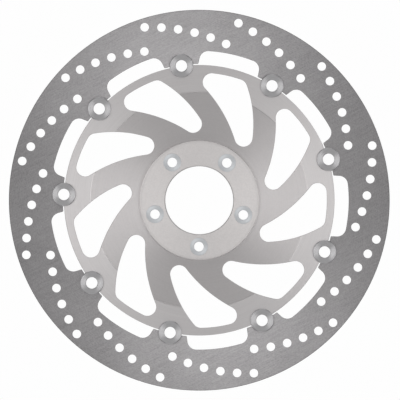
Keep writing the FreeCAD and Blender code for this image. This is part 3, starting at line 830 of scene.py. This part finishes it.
# The soft boxes' distances and sizes are in metres.
WIDE_BOX = {"distance": 1.6, "size": (3.2, 0.8), "watts": 3.2}
SIDE_BOX = {"distance": 1.6, "size": (0.7, 1.75), "watts": 8.2}
LEVEL_BOX = {"distance": 1.5, "size": (1.2, 1.2), "watts": 4}


def staged(name, mesh, finish):
    """A thing of the studio, which isn't part of the disc."""
    mesh.materials.append(finish)
    thing = bpy.data.objects.new(name, mesh)
    bpy.context.scene.collection.objects.link(thing)
    return thing


def make_floor():
    """A plain pale floor just under the disc's lowest edge, which fades into the white backdrop."""
    gap, floor_radius, steps = 0.0002, 1.5, 96
    level = CAD_BOX[0][2] - gap
    finish = Finish("pale_floor")
    finish.shader.inputs["Metallic"].default_value = 0.0
    finish.shader.inputs["Specular IOR Level"].default_value = 0.2
    distance = finish.radius(finish.place)
    fade = {"Value": distance, "From Min": 0.25, "From Max": 1.2}
    paper = finish.add("ShaderNodeMapRange", {**fade, "To Min": 0.85, "To Max": 0.0}).outputs[0]
    mottle = finish.mixed(0.02, 1.0, finish.noise(finish.place, scale=6.0))
    shade = finish.math("MULTIPLY", paper, mottle)
    grey = finish.add("ShaderNodeCombineColor", {0: shade, 1: shade, 2: shade})
    finish.connect(grey.outputs[0], "Base Color")
    glow = finish.add("ShaderNodeMapRange", {**fade, "To Min": 0.2, "To Max": BACKDROP_GLOW})
    finish.connect(glow.outputs[0], "Emission Strength")
    finish.shader.inputs["Emission Color"].default_value = (1, 1, 1, 1)
    finish.shader.inputs["Roughness"].default_value = 0.8
    mesh = bpy.data.meshes.new("floor")
    corners = [(x, y, level) for x, y in circle((0, 0), floor_radius, steps)]
    mesh.from_pydata(corners, [], [range(steps)])
    floor = staged("floor", mesh, finish.material)
    # The soft boxes reach below the floor, and light the disc evenly from above and below.
    floor.visible_shadow = floor.visible_glossy = floor.visible_diffuse = False


def make_backdrop():
    """A white dome that only the camera sees, so that the metal reflects the studio's lights."""
    finish = bpy.data.materials.new("white_backdrop")
    finish.use_nodes = True
    tree = finish.node_tree
    tree.nodes.remove(tree.nodes["Principled BSDF"])
    glow = tree.nodes.new("ShaderNodeEmission")
    glow.inputs["Strength"].default_value = BACKDROP_GLOW
    glow.inputs["Color"].default_value = (1, 1, 1, 1)
    tree.links.new(glow.outputs[0], tree.nodes["Material Output"].inputs["Surface"])
    ball = bmesh.new()
    bmesh.ops.create_icosphere(ball, subdivisions=4, radius=6.0)
    mesh = bpy.data.meshes.new("backdrop")
    ball.to_mesh(mesh)
    ball.free()
    dome = staged("backdrop", mesh, finish)
    dome.visible_diffuse = dome.visible_glossy = dome.visible_shadow = False
    dome.visible_transmission = dome.visible_volume_scatter = False


def make_light(name, azimuth, elevation, distance, size, watts):
    """A soft box that faces the disc. Azimuth 0 is in front, and 90 is on the right."""
    turn, rise = math.radians(azimuth), math.radians(elevation)
    away = Vector((math.sin(turn) * math.cos(rise), -math.cos(turn) * math.cos(rise), math.sin(rise)))
    lamp = bpy.data.lights.new(name, "AREA")
    lamp.shape = "RECTANGLE"
    lamp.size, lamp.size_y = size
    lamp.energy = watts
    thing = bpy.data.objects.new(name, lamp)
    thing.location = away * distance
    thing.rotation_euler = away.to_track_quat("Z", "Y").to_euler()
    thing.visible_camera = False
    bpy.context.scene.collection.objects.link(thing)


def make_lights():
    """The same soft boxes in front of the disc and behind it, and a faint glow all round."""
    world = bpy.data.worlds.new("studio")
    world.use_nodes = True
    background = world.node_tree.nodes["Background"]
    background.inputs["Color"].default_value = (1, 1, 1, 1)
    background.inputs["Strength"].default_value = WORLD_GLOW
    bpy.context.scene.world = world
    for side, azimuth in (("front", 0), ("rear", 180)):
        make_light(f"{side}_wide_box", azimuth, 0, **WIDE_BOX)
        make_light(f"{side}_left_box", azimuth - 45, 0, **SIDE_BOX)
        make_light(f"{side}_right_box", azimuth + 45, 0, **SIDE_BOX)
    make_light("overhead_box", 0, 90, **LEVEL_BOX)
    make_light("floor_bounce_box", 0, -90, **LEVEL_BOX)


def make_camera():
    """Square on to the front of the disc, without perspective."""
    frame_width, distance, roll = 0.33609, 1.2, -0.44
    aim_x, aim_z = 0.0006, 0.0002
    lens = bpy.data.cameras.new("camera")
    lens.type = "ORTHO"
    lens.ortho_scale = frame_width
    lens.clip_end = 50
    camera = bpy.data.objects.new("camera", lens)
    camera.location = (aim_x, -distance, aim_z)
    camera.rotation_euler = (math.pi / 2, math.radians(roll), 0)
    bpy.context.scene.collection.objects.link(camera)
    bpy.context.scene.camera = camera


make_floor()
make_backdrop()
make_lights()
make_camera()
bpy.context.scene.view_settings.view_transform = "Standard"
